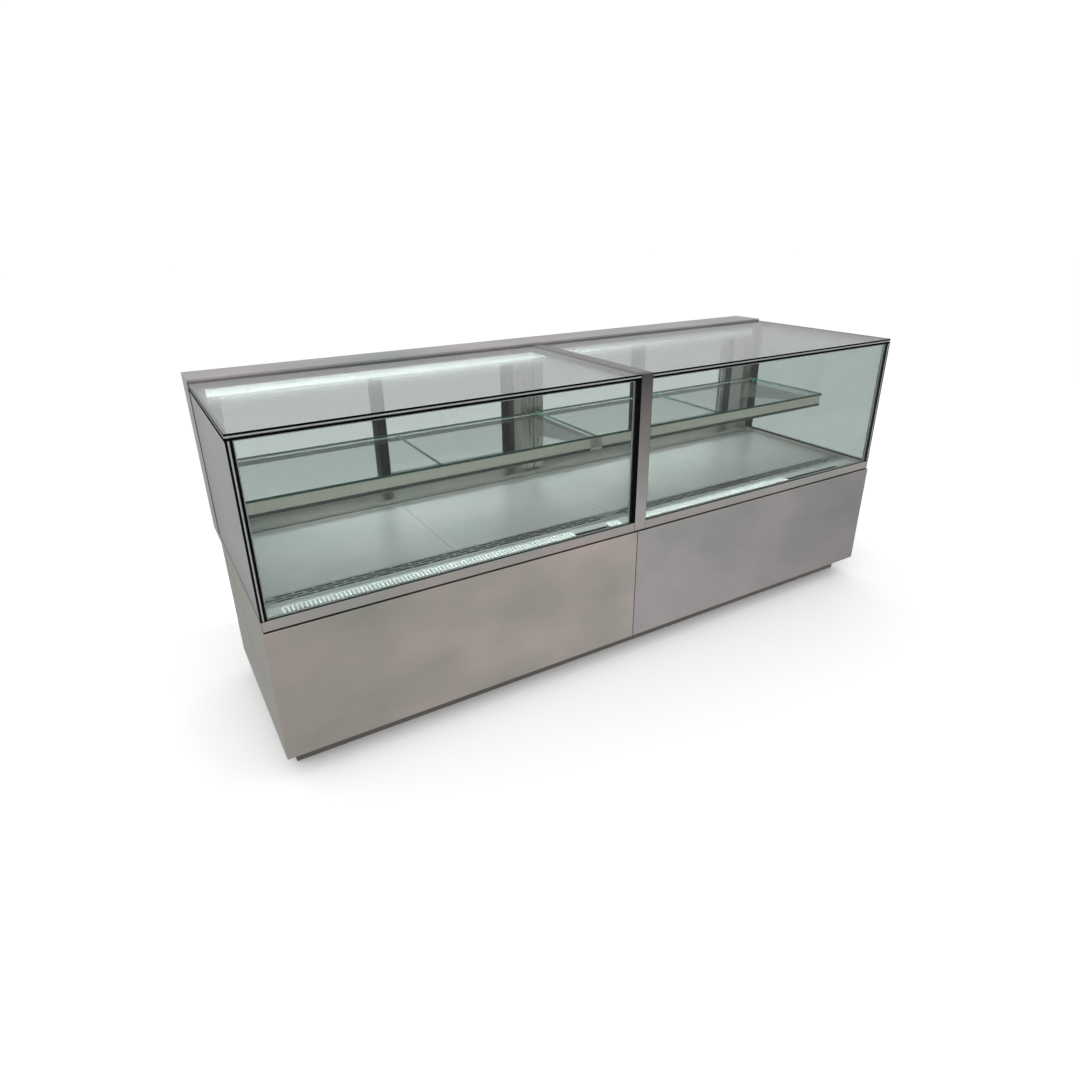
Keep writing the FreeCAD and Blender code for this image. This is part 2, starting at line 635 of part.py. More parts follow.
def power_inlets():
    y = BASE_REAR + 2.0
    body = cylinder(10.0, 40.0, (1150, y - 20, 120), (0, 1, 0))
    nut = cylinder(15.0, 6.0, (1150, y, 120), (0, 1, 0))
    bore = cylinder(5.0, 60.0, (1150, y - 30, 120), (0, 1, 0))
    save("power_inlets", repeated([body.fuse(nut).cut(bore)]))


def control_panels():
    y0 = BASE_REAR + 2.0
    y1 = SWITCH_Y + 2.0
    body = box(860, 1080, y0, y1, 410, 470)
    display = box(890, 970, y1 - 2, y1 + 1, 425, 455)
    well = box(SWITCH_X - 8, SWITCH_X + 8, y0 + 1, y1 + 5, SWITCH_Z - 15, SWITCH_Z + 15)
    pin_hole = cylinder(1.5, 20, (SWITCH_X - 10, SWITCH_Y, SWITCH_Z), (1, 0, 0))
    save("control_panels", repeated([body.cut(display).cut(well).cut(pin_hole)]))


def light_switches():
    """A rocker on a cross pin, drawn level between its two positions."""
    face = [(-6.0, -9.0), (3.0, -12.5), (6.0, -12.5), (3.5, 0.0), (6.0, 12.5), (3.0, 12.5), (-6.0, 9.0)]
    points = [(SWITCH_Y + y, SWITCH_Z + z) for y, z in face]
    rocker = prism_yz(points, SWITCH_X - 7.5, SWITCH_X + 7.5)
    pin = cylinder(1.45, 19, (SWITCH_X - 9.5, SWITCH_Y, SWITCH_Z), (1, 0, 0))
    left = rocker.fuse(pin)
    save("light_switch_1", [left])
    save("light_switch_2", [moved(left, SECTION)])


# ---- refrigeration ----
def finned_coil(x0, x1, y0, y1, z0, z1, pitch, rows):
    """A fin-and-tube coil: parallel fins on tubes along x."""
    fins = []
    count = int((x1 - x0) / pitch)
    for index in range(count + 1):
        x = x0 + index * (x1 - x0 - 1.0) / count
        fins.append(box(x, x + 1.0, y0, y1, z0, z1))
    tubes = []
    for row in range(rows):
        z = z0 + (row + 0.5) * (z1 - z0) / rows
        for y in (y0 + (y1 - y0) / 4, y1 - (y1 - y0) / 4):
            tubes.append(cylinder(5.0, x1 - x0 + 16, (x0 - 8, y, z), (1, 0, 0)))
    return fins[0].fuse(fins[1:] + tubes)


def evaporator_coils():
    coil = finned_coil(110, 1060, 400, 540, 350, 480, 25.0, 3)
    save("evaporator_coils", repeated([coil]))


def fan_rotor(center_x, center_z, y, radius, motor_side):
    """Hub, five pitched blades and the shaft that runs in the motor."""
    hub = cylinder(20, 18, (center_x, y - 9, center_z), (0, 1, 0))
    parts = []
    for index in range(5):
        blade = box(-16, 16, -1.2, 1.2, 15, radius)
        blade.rotate(Vector(0, 0, 0), Vector(0, 0, 1), 28)
        blade.rotate(Vector(0, 0, 0), Vector(0, 1, 0), index * 72)
        parts.append(moved(blade, center_x, y, center_z))
    parts.append(cylinder(SHAFT, 38, (center_x, y, center_z), (0, motor_side, 0)))
    return hub.fuse(parts)


def fan_motor(center_x, center_z, y, motor_side, spoke_y, reach):
    """Motor can with a bored nose, held by four spokes."""
    start = y + motor_side * 12
    can = cylinder(36, 30, (center_x, start, center_z), (0, motor_side, 0))
    bore = cylinder(SHAFT + BORE_CLEARANCE, 27.5, (center_x, start, center_z), (0, motor_side, 0))
    spokes = []
    for angle in (45, 135, 225, 315):
        spoke = box(30, reach, -2, 2, -3, 3)
        spoke.rotate(Vector(0, 0, 0), Vector(0, 1, 0), angle)
        spokes.append(moved(spoke, center_x, spoke_y, center_z))
    return can.fuse(spokes).cut(bore)


def evaporator_fans():
    x, z = EVAP_FAN
    y = EVAP_FAN_Y
    panel = box(40, 1180, y - 1, y + 1, 336, 505)
    hole = cylinder(74, 10, (x, y - 5, z), (0, 1, 0))
    save("evaporator_fan_panels", repeated([panel.cut(hole)]))
    rotor = fan_rotor(x, z, y, 68, -1)
    save("evaporator_fan_1", [rotor])
    save("evaporator_fan_2", [moved(rotor, SECTION)])
    motor = fan_motor(x, z, y, -1, y - 20, 82)
    feet = []
    for angle in (45, 135, 225, 315):
        foot = box(77, 82, -22, 19, -3, 3)
        foot.rotate(Vector(0, 0, 0), Vector(0, 1, 0), angle)
        feet.append(moved(foot, x, y - 20, z))
    return motor.fuse(feet).cut(box(x - 100, x + 100, y - 1, y + 1, z - 100, z + 100))


def condensing_unit():
    x, z = COND_FAN
    coil = finned_coil(255, 545, 596, 630, 110, 286, 12.0, 4)
    save("condenser_coils", repeated([coil]))
    shroud = pan(244, 556, 556, 594, 104.2, 292, SHEET, "+y")
    hole = cylinder(84, 30, (x, 540, z), (0, 1, 0))
    base = box(240, 560, 250, 594, TOE + SHEET, 104)
    save("condenser_fan_shrouds", repeated([shroud.cut(hole), base]))
    rotor = fan_rotor(x, z, COND_FAN_Y - 12, 76, -1)
    save("condenser_fan_1", [rotor])
    save("condenser_fan_2", [moved(rotor, SECTION)])
    motor = fan_motor(x, z, COND_FAN_Y - 12, -1, 542, 92)
    feet = []
    for angle in (45, 135, 225, 315):
        foot = box(87, 92, -4, 14, -3, 3)
        foot.rotate(Vector(0, 0, 0), Vector(0, 1, 0), angle)
        feet.append(moved(foot, x, 542, z))
    return motor.fuse(feet).cut(box(x - 110, x + 110, 556, 560, z - 110, z + 110))


def compressors():
    x, y = 400.0, 350.0
    shell = cylinder(72, 100, (x, y, 140), (0, 0, 1))
    dome = Part.makeSphere(72, Vector(0, 0, 0))
    squash = FreeCAD.Matrix()
    squash.scale(1, 1, 0.35)
    cap = dome.transformGeometry(squash)
    top = moved(cap, x, y, 240)
    bottom = moved(cap, x, y, 140)
    foot_plate = box(x - 90, x + 90, y - 70, y + 70, 112, 116)
    grommets = [cylinder(10, 8, (x + dx, y + dy, 104), (0, 0, 1)) for dx in (-78, 78) for dy in (-58, 58)]
    terminal_box = box(x + 60, x + 95, y - 25, y + 25, 165, 215)
    save("compressors", repeated([shell.fuse([top, bottom, foot_plate, terminal_box] + grommets)]))


def refrigerant_lines():
    radius = 5.0
    suction = pipe([(320, 350, 195), (290, 350, 195), (290, 180, 195), (1112, 180, 195), (1112, 300, 195),
                    (1112, 300, 383), (1080, 300, 383)], 12, radius)
    liquid = pipe([(566, 612, 150), (1140, 612, 150), (1140, 300, 150), (1140, 300, 440), (1080, 300, 440)],
                  12, radius)
    return repeated([suction, liquid])


def condensate_pans():
    tray = pan(800, 1090, 200, 420, TOE + SHEET, 140, SHEET, "+z")
    drain = cylinder(10, 215, (950, 250, 120), (0, 0, 1))
    bore = cylinder(8, 230, (950, 250, 110), (0, 0, 1))
    save("condensate_pans", repeated([tray, drain.cut(bore)]))


def main():
    os.makedirs("parts", exist_ok=True)
    base_frame()
    leveling_feet()
    toe_kick_boards()
    machine_floor_pans()
    end_panels()
    front_panels()
    glass_sills()
    tanks()
    discharge_covers()
    discharge_honeycombs()
    air_grilles()
    deck_pans()
    glass_units()
    glass_seals()
    center_front_post()
    center_top_rail()
    shelf_glass_panes()
    shelf_rails()
    shelf_brackets()
    shelf_standards()
    rear_posts()
    rear_headers()
    light_bars()
    rear_caps()
    rear_ledges()
    door_jambs()
    door_tracks()
    sliding_doors()
    service_panels()
    power_inlets()
    control_panels()
    light_switches()
    evaporator_coils()
    motors = [evaporator_fans(), condensing_unit()]
    save("fan_motors", repeated(motors))
    compressors()
    save("refrigerant_lines", refrigerant_lines())
    condensate_pans()


main()
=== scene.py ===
import math

import bpy
from mathutils import Matrix, Vector


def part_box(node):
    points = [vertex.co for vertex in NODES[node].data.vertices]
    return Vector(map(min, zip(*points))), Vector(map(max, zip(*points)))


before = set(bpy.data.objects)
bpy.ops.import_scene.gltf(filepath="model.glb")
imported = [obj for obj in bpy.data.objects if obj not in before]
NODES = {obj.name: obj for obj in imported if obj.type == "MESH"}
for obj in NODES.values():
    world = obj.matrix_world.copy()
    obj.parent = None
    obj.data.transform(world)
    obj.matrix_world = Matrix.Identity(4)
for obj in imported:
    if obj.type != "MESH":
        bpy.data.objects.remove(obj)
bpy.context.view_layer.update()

AXIS_INDEX = {"x": 0, "y": 1, "z": 2}


# ---- colours ----
SRGB_KNEE = 0.04045
SRGB_SLOPE = 12.92
SRGB_OFFSET = 0.055
SRGB_POWER = 2.4


def linear(red, green, blue):
    """Colour values from 0 to 255 as the linear colour a shader takes."""
    channels = []
    for value in (red, green, blue):
        share = value / 255
        if share <= SRGB_KNEE:
            channels.append(share / SRGB_SLOPE)
        else:
            channels.append(((share + SRGB_OFFSET) / (1 + SRGB_OFFSET)) ** SRGB_POWER)
    return tuple(channels) + (1.0,)


def grey(value):
    """A neutral linear colour."""
    return value, value, value, 1.0


def tinted(color, factors):
    """The colour with each channel multiplied by its own factor."""
    return tuple(min(1.0, channel * factor) for channel, factor in zip(color, factors)) + (1.0,)


def scaled(color, factor):
    """The colour with all its channels multiplied by one factor."""
    return tinted(color, (factor, factor, factor))


STEEL = linear(212, 208, 203)
# The left and right panel steels are tinted apart as painted reflection of the room.
STEEL_LEFT = linear(218, 210, 203)
STEEL_RIGHT = linear(212, 210, 209)
STEEL_CAP = linear(192, 190, 190)
STEEL_TOP_RAIL = linear(150, 149, 147)
STEEL_POST = linear(206, 202, 199)
STEEL_END = linear(200, 198, 189)
STEEL_DECK = linear(202, 203, 203)
# Painted shade: the grille steel is a little darker, for the shade among its slots.
STEEL_GRILLE = linear(198, 199, 199)
# Painted highlight: the cover steel is lighter than the rest, for the bright lip line.
STEEL_COVER_HIGHLIGHT = linear(228, 229, 229)
# Painted shade: darker steel for the parts that stand back in shade.
STEEL_SHADED = linear(130, 126, 122)
ZINC = linear(170, 172, 174)
COPPER_BRIGHT = linear(196, 120, 88)
COPPER_DULL = linear(128, 72, 52)
ALUMINIUM = linear(196, 200, 198)
DOOR_ALUMINIUM = linear(206, 212, 210)
SPACER_SILVER = linear(214, 216, 216)
TRIM = linear(216, 209, 198)
FINS = linear(190, 192, 194)
WHITE_PLASTIC = linear(238, 242, 240)
LINER = linear(44, 46, 46)
LENS_PLASTIC = linear(236, 240, 238)
LENS_GLOW = (0.93, 1.0, 0.98, 1.0)
BLACK_PLASTIC = (0.012, 0.012, 0.013, 1.0)
BLACK_ENAMEL = grey(0.012)
BLACK = grey(0.003)
BLACK_EDGE = (0.002, 0.003, 0.003, 1.0)
GREEN_EDGE = linear(44, 78, 66)
PANE_TINT = (0.885, 0.905, 0.898, 1.0)
BEAD_GREY = linear(128, 134, 134)
# Painted shadow under the front rails and painted shade on the rear rails.
RAIL_SHADOW_COLOR = linear(70, 76, 72)
REAR_RAIL_SHADE_COLOR = linear(84, 90, 86)


# ---- node trees ----
# The places of the colour sockets among a Mix node's inputs and outputs.
MIX_COLOR_A = 6
MIX_COLOR_B = 7
MIX_COLOR_RESULT = 2

# The part of a noise texture's range that most tones and roughnesses are spread over.
MIDDLE = (0.3, 0.7)


class Nodes:
    """A node tree, with short calls for the nodes used here."""

    def __init__(self, tree):
        self.tree = tree

    def add(self, kind, **settings):
        """A new node of a kind, with its settings."""
        node = self.tree.nodes.new(kind)
        for key, value in settings.items():
            setattr(node, key, value)
        return node

    def link(self, source, target):
        """Join an output to an input."""
        self.tree.links.new(source, target)

    def feed(self, socket, value):
        """Set an input to a constant, or join it to another node's output."""
        if isinstance(value, (int, float, tuple)):
            socket.default_value = value
        else:
            self.link(value, socket)

    def math(self, operation, *values):
        """The result of a Math node."""
        node = self.add("ShaderNodeMath", operation=operation)
        for socket, value in zip(node.inputs, values):
            self.feed(socket, value)
        return node.outputs[0]

    def ramp(self, value, source, target):
        """The value's way through the source range, as a number in the target range."""
        node = self.add("ShaderNodeMapRange")
        self.link(value, node.inputs["Value"])
        for name, number in zip(("From Min", "From Max", "To Min", "To Max"), (*source, *target)):
            self.feed(node.inputs[name], number)
        return node.outputs["Result"]

    def component(self, vector, axis):
        """A vector's part along one axis."""
        split = self.add("ShaderNodeSeparateXYZ")
        self.link(vector, split.inputs[0])
        return split.outputs[AXIS_INDEX[axis]]


class Shader(Nodes):
    """A new material, with its textures in the object's own coordinates."""

    def __init__(self, name):
        self.material = bpy.data.materials.new(name)
        self.material.use_nodes = True
        super().__init__(self.material.node_tree)
        self.tree.nodes.clear()
        self.output = self.add("ShaderNodeOutputMaterial")

    def position(self):
        """The object's own coordinates, in metres, which move with its body."""
        return self.add("ShaderNodeTexCoord").outputs["Object"]

    def place(self, axis):
        """One of the object's own coordinates."""
        return self.component(self.position(), axis)

    def noise(self, scale, detail, stretch=(1, 1, 1), offset=(0, 0, 0)):
        """A cloudy texture; a larger stretch makes it finer along that axis."""
        mapping = self.add("ShaderNodeMapping")
        mapping.inputs["Scale"].default_value = stretch
        mapping.inputs["Location"].default_value = offset
        texture = self.add("ShaderNodeTexNoise")
        texture.inputs["Scale"].default_value = scale
        texture.inputs["Detail"].default_value = detail
        self.link(self.position(), mapping.inputs["Vector"])
        self.link(mapping.outputs["Vector"], texture.inputs["Vector"])
        return texture.outputs["Fac"]

    def within(self, value, center, half):
        """1 where the value is within the half width of the centre, else 0."""
        distance = self.math("ABSOLUTE", self.math("SUBTRACT", value, center))
        return self.math("LESS_THAN", distance, half)

    def blend(self, factor, first, second, mode="MIX"):
        """Two colours mixed by a factor."""
        node = self.add("ShaderNodeMix", data_type="RGBA", blend_type=mode)
        self.feed(node.inputs["Factor"], factor)
        self.feed(node.inputs[MIX_COLOR_A], first)
        self.feed(node.inputs[MIX_COLOR_B], second)
        return node.outputs[MIX_COLOR_RESULT]

    def between(self, texture, first, second, span=MIDDLE):
        """A colour that goes from the first to the second over a span of the texture."""
        return self.blend(self.ramp(texture, span, (0.0, 1.0)), first, second)

    def uneven(self, texture, value, below, above, span=MIDDLE):
        """A number that goes from below to above the value over a span of the texture."""
        return self.ramp(texture, span, (value - below, value + above))

    def bump(self, height, strength, distance, normal=None):
        """A normal that is roughened by a height."""
        node = self.add("ShaderNodeBump")
        node.inputs["Strength"].default_value = strength
        node.inputs["Distance"].default_value = distance
        self.link(height, node.inputs["Height"])
        if normal is not None:
            self.link(normal, node.inputs["Normal"])
        return node.outputs["Normal"]

    def soft_edges(self, radius):
        """A normal that rounds the edges."""
        node = self.add("ShaderNodeBevel", samples=4)
        node.inputs["Radius"].default_value = radius
        return node.outputs["Normal"]

    def principled(self, **values):
        """A Principled surface; each keyword is a socket's name with _ for its spaces."""
        node = self.add("ShaderNodeBsdfPrincipled")
        for key, value in values.items():
            self.feed(node.inputs[key.replace("_", " ")], value)
        return node.outputs[0]

    def layered(self, factor, first, second):
        """Two surfaces mixed by a factor."""
        node = self.add("ShaderNodeMixShader")
        for socket, source in zip(node.inputs, (factor, first, second)):
            self.link(source, socket)
        return node.outputs[0]

    def finish(self, surface):
        """The material, with this surface."""
        self.link(surface, self.output.inputs["Surface"])
        return self.material


# ---- places that materials are measured from, in metres ----
HAIR = 0.0002
SILL_BEAD = 0.0022
SPACER_FACE = 0.004
RAIL_SHADOW = 0.0115
REAR_RAIL = 0.012
SIDE_MEMBER = 0.024
REAR_BORDER = 0.024
EDGE_BORDER = 0.0028
BEAD_OVERHANG = 0.001

# The post's painted shade starts at this share of its height, and its tones are at that start and at the
# top.
POST_SHADE_START = 0.14
POST_TONES = (1.12, 0.22)


def sill_top():
    """Height of the glass sills, where the front glass bead sits."""
    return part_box("glass_sills")[1].z


def bead_reach():
    """Half the length between the two end glass units."""
    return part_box("right_front_glass")[1].x + BEAD_OVERHANG


def post_shade():
    """Painted reflection: the front post is painted darker towards its top, where it reflects less of the
    room.
    """
    low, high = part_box("center_front_post")
    start = low.z + POST_SHADE_START * (high.z - low.z)
    return "z", (start, high.z), POST_TONES


def panel_shade(node, left_tone, right_tone):
    """Painted reflection of the room: a panel's tone goes from one end to the other."""
    low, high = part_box(node)
    return "x", (low.x, high.x), (left_tone, right_tone)


def border(axis, low, high):
    """An axis with the centre and half width from low to high, a hair wider to take in both faces."""
    return axis, (low + high) / 2, (high - low) / 2 + HAIR


def band(axis, low, high, color):
    """A border with a colour."""
    return (*border(axis, low, high), color)


def door_bands():
    """The black members: the meeting stiles and the side members beside the centre post."""
    overlap_low = abs(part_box("door_1_frame")[1].x)
    overlap_high = abs(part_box("door_2_frame")[0].x)
    center_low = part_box("door_3_frame")[0].x
    return (band("x", overlap_low, overlap_high, BLACK),
            band("x", center_low, center_low + SIDE_MEMBER, BLACK))


def rail_bands():
    """The painted shadow strip under the front rails, and painted shade on the rails at the rear."""
    low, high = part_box("shelf_rails")
    return (band("z", low.z, low.z + RAIL_SHADOW, RAIL_SHADOW_COLOR),
            band("y", high.y - REAR_RAIL, high.y, REAR_RAIL_SHADE_COLOR))


def end_borders():
    """Black borders of the end glass: along its rear, its foot and its head."""
    low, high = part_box("end_glass")
    return (border("y", high.y - REAR_BORDER, high.y),
            border("z", low.z, low.z + EDGE_BORDER),
            border("z", high.z - EDGE_BORDER, high.z))


# ---- metals ----
STRETCH = {"x": (1, 60, 60), "y": (60, 1, 60), "z": (60, 60, 1)}
STREAK_TONES = (0.975, 1.025)
SMEAR_ROUGHNESS = (0.0, 0.08)

# How much of the mottling each channel takes in the warm clouds and in the cool ones.
WARM_SHARES = (1.0, 0.55, 0.6)
COOL_SHARES = (1.0, 0.65, 0.8)


def brushed_steel(name, color, grain, roughness=0.34, mottling=0.10, edge=0.0009,
                  shade=None, metallic=1.0):
    """Stainless sheet: a fine grain along one axis, cloudy tone and softly lit folds.

    A shade (axis, (low, high), (tone at low, tone at high)) changes the tone along one axis; it is
    painted shade and reflection of the room.
    """
    shader = Shader(name)
    fine = shader.noise(scale=14.0, detail=6.0, stretch=STRETCH[grain])
    clouds = shader.noise(scale=2.6, detail=4.0, stretch=(1, 1, 1.5))
    smears = shader.noise(scale=7.0, detail=5.0, stretch=(1, 1, 0.6), offset=(3.1, 0.4, 1.7))
    warm = tinted(color, [1 + share * mottling for share in WARM_SHARES])
    cool = tinted(color, [1 - share * mottling for share in COOL_SHARES])
    streaks_and_shade = shader.ramp(fine, (0.25, 0.75), STREAK_TONES)
    # A shade paints shade and reflection of the room into the streaks.
    if shade is not None:
        axis, span, tones = shade
        streaks_and_shade = shader.math("MULTIPLY", streaks_and_shade, shader.ramp(shader.place(axis), span, tones))
    base = shader.blend(1.0, shader.between(clouds, cool, warm), streaks_and_shade, "MULTIPLY")
    grain_roughness = shader.uneven(fine, roughness, below=0.05, above=0.07, span=(0.2, 0.8))
    smear_roughness = shader.ramp(smears, (0.45, 0.75), SMEAR_ROUGHNESS)
    rough = shader.math("ADD", grain_roughness, smear_roughness)
    normal = shader.bump(fine, strength=0.05, distance=0.0006, normal=shader.soft_edges(edge))
    return shader.finish(shader.principled(Base_Color=base, Metallic=metallic, Roughness=rough,
                                           Normal=normal))


def anodised(name, color, grain="x", roughness=0.4, metallic=0.85, bands=()):
    """Satin anodised aluminium extrusion with faint die lines.

    Each band (axis, centre, half width, colour) colours a member, and its mirror image
    across the frame's origin, so that both halves of the case match.
    """
    shader = Shader(name)
    lines = shader.noise(scale=9.0, detail=3.0, stretch=STRETCH[grain])
    tone = shader.between(lines, scaled(color, 0.95), scaled(color, 1.05))
    for axis, center, half, band_color in bands:
        in_band = shader.within(shader.math("ABSOLUTE", shader.place(axis)), center, half)
        tone = shader.blend(in_band, tone, band_color)
    rough = shader.uneven(lines, roughness, below=0.04, above=0.05)
    normal = shader.bump(lines, strength=0.05, distance=0.0004, normal=shader.soft_edges(radius=0.0008))
    return shader.finish(shader.principled(Base_Color=tone, Metallic=metallic, Roughness=rough,
                                           Normal=normal))


def spacer_bar(name, color):
    """Silver spacer bar; black sealant borders it where a unit's edge is open to view."""
    shader = Shader(name)
    pits = shader.noise(scale=90.0, detail=3.0)
    tone = shader.between(pits, scaled(color, 0.92), scaled(color, 1.05))
    top_low, top_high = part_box("top_glass")
    front_low, front_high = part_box("left_front_glass")
    end_center = top_high.x - (front_high.y - front_low.y) / 2
    side = shader.math("ABSOLUTE", shader.place("x"))
    height = shader.place("z")
    inside_ends = shader.math("LESS_THAN", side, bead_reach())
    under_top = shader.math("LESS_THAN", height, top_low.z)
    in_front_unit = shader.math("MULTIPLY", inside_ends, under_top)
    in_end_unit = shader.within(side, end_center, SPACER_FACE / 2)
    in_top_unit = shader.within(height, (top_low.z + top_high.z) / 2, SPACER_FACE / 2)
    silver = shader.math("MAXIMUM", shader.math("MAXIMUM", in_front_unit, in_end_unit), in_top_unit)
    rough = shader.ramp(pits, (0.2, 0.8), (0.3, 0.42))
    base = shader.blend(silver, BLACK, tone)
    return shader.finish(shader.principled(Base_Color=base, Metallic=silver, Roughness=rough))


def copper(name):
    """Bare copper tube, duller where it has been handled."""
    shader = Shader(name)
    patches = shader.noise(scale=25.0, detail=5.0)
    tone = shader.between(patches, COPPER_BRIGHT, COPPER_DULL, span=(0.35, 0.7))
    rough = shader.ramp(patches, MIDDLE, (0.28, 0.5))
    return shader.finish(shader.principled(Base_Color=tone, Metallic=1.0, Roughness=rough))


def galvanised(name, color):
    """Zinc-coated sheet with a faint crystalline spangle."""
    shader = Shader(name)
    cells = shader.add("ShaderNodeTexVoronoi")
    cells.inputs["Scale"].default_value = 70.0
    shader.link(shader.position(), cells.inputs["Vector"])
    chances = shader.add("ShaderNodeSeparateColor")
    shader.link(cells.outputs["Color"], chances.inputs[0])
    tone = shader.blend(chances.outputs[0], scaled(color, 0.85), scaled(color, 1.12))
    rough = shader.ramp(chances.outputs[1], (0.0, 1.0), (0.38, 0.55))
    return shader.finish(shader.principled(Base_Color=tone, Metallic=1.0, Roughness=rough,
                                           Normal=shader.soft_edges(radius=0.0008)))


# ---- rubber, plastic and enamel ----
def rubber(name, color, bead_color):
    """Black silicone and gasket rubber, a little dusty; the bead along the sill is grey."""
    shader = Shader(name)
    dust = shader.noise(scale=60.0, detail=5.0)
    dusty = shader.between(dust, color, scaled(color, 1.8), span=(0.4, 0.8))
    on_sill = shader.within(shader.place("z"), sill_top() + SILL_BEAD / 2, SILL_BEAD / 2)
    off_ends = shader.math("LESS_THAN", shader.math("ABSOLUTE", shader.place("x")), bead_reach())
    tone = shader.blend(shader.math("MULTIPLY", on_sill, off_ends), dusty, bead_color)
    rough = shader.uneven(dust, value=0.55, below=0.08, above=0.08)
    normal = shader.bump(dust, strength=0.15, distance=0.0003)
    return shader.finish(shader.principled(Base_Color=tone, Roughness=rough, Normal=normal,
                                           Specular_IOR_Level=0.0))


def moulded_plastic(name, color, roughness, glow=0.0):
    """Moulded plastic with a fine spark-eroded texture; a glow adds light of its own."""
    shader = Shader(name)
    texture = shader.noise(scale=450.0, detail=2.0)
    clouds = shader.noise(scale=3.0, detail=3.0)
    tone = shader.between(clouds, scaled(color, 0.94), scaled(color, 1.05))
    rough = shader.uneven(clouds, roughness, below=0.05, above=0.05)
    normal = shader.bump(texture, strength=0.12, distance=0.0002, normal=shader.soft_edges(radius=0.0006))
    return shader.finish(shader.principled(Base_Color=tone, Roughness=rough, Normal=normal,
                                           Emission_Color=color, Emission_Strength=glow))


def painted(name, color):
    """Baked enamel with slight orange peel."""
    shader = Shader(name)
    peel = shader.noise(scale=220.0, detail=1.0)
    chips = shader.noise(scale=18.0, detail=4.0)
    tone = shader.between(chips, color, scaled(color, 1.4), span=(0.35, 0.75))
    normal = shader.bump(peel, strength=0.06, distance=0.0004)
    return shader.finish(shader.principled(Base_Color=tone, Roughness=0.35, Normal=normal,
                                           Coat_Weight=0.3))


# ---- glass and light ----
# The share of light that a pane reflects head on, and how fast its shine grows at a slant.
HEAD_ON_SHINE = 0.025
SHINE_POWER = 5.0

# Painted dimming: the right lens's brightness as a share of the left's, and where along x it changes,
# though both lamps are alike.
FAR_LENS_SHARE = 0.4
LENS_FADE_SPAN = (-0.2, 0.7)


def glass(name, thin_axis, tint, edge_color, borders=()):
    """Clear float glass. Its broad faces pass and reflect light; its ground edges are dark.

    Each border (axis, centre, half width) is printed in the edge's colour on the faces.
    """
    shader = Shader(name)
    smudges = shader.noise(scale=9.0, detail=5.0)
    clear = shader.add("ShaderNodeBsdfTransparent")
    clear.inputs["Color"].default_value = tint
    shine = shader.add("ShaderNodeBsdfGlossy")
    shine.inputs["Color"].default_value = grey(1.0)
    shader.link(shader.ramp(smudges, (0.4, 0.8), (0.0, 0.03)), shine.inputs["Roughness"])
    slant = shader.add("ShaderNodeLayerWeight")
    slant.inputs["Blend"].default_value = 0.5
    grazing = shader.math("POWER", slant.outputs["Facing"], SHINE_POWER)
    reflected = shader.ramp(grazing, (0.0, 1.0), (HEAD_ON_SHINE, 1.0))
    pane = shader.layered(reflected, clear.outputs[0], shine.outputs[0])
    edge = shader.principled(Base_Color=edge_color, Roughness=0.4, Specular_IOR_Level=0.0)
    normal = shader.add("ShaderNodeNewGeometry").outputs["Normal"]
    facing = shader.math("ABSOLUTE", shader.component(normal, thin_axis))
    on_edge = shader.math("LESS_THAN", facing, 0.5)
    for axis, center, half in borders:
        on_border = shader.within(shader.place(axis), center, half)
        on_edge = shader.math("MAXIMUM", on_edge, on_border)
    return shader.finish(shader.layered(on_edge, pane, edge))


def lit_lens(name, color, strength):
    """Opal plastic that glows a little unevenly, with a painted dimming in the right section, as both
    lamps are alike.
    """
    shader = Shader(name)
    clouds = shader.noise(scale=5.0, detail=2.0)
    glow = shader.ramp(clouds, (0.2, 0.8), (strength * 0.94, strength * 1.06))
    painted_dimming = shader.ramp(shader.place("x"), LENS_FADE_SPAN, (1.0, FAR_LENS_SHARE))
    return shader.finish(shader.principled(Base_Color=LENS_PLASTIC, Roughness=0.35, Emission_Color=color,
                                           Emission_Strength=shader.math("MULTIPLY", glow, painted_dimming)))


# ---- materials by part ----
PANEL_FOLD = 0.0022


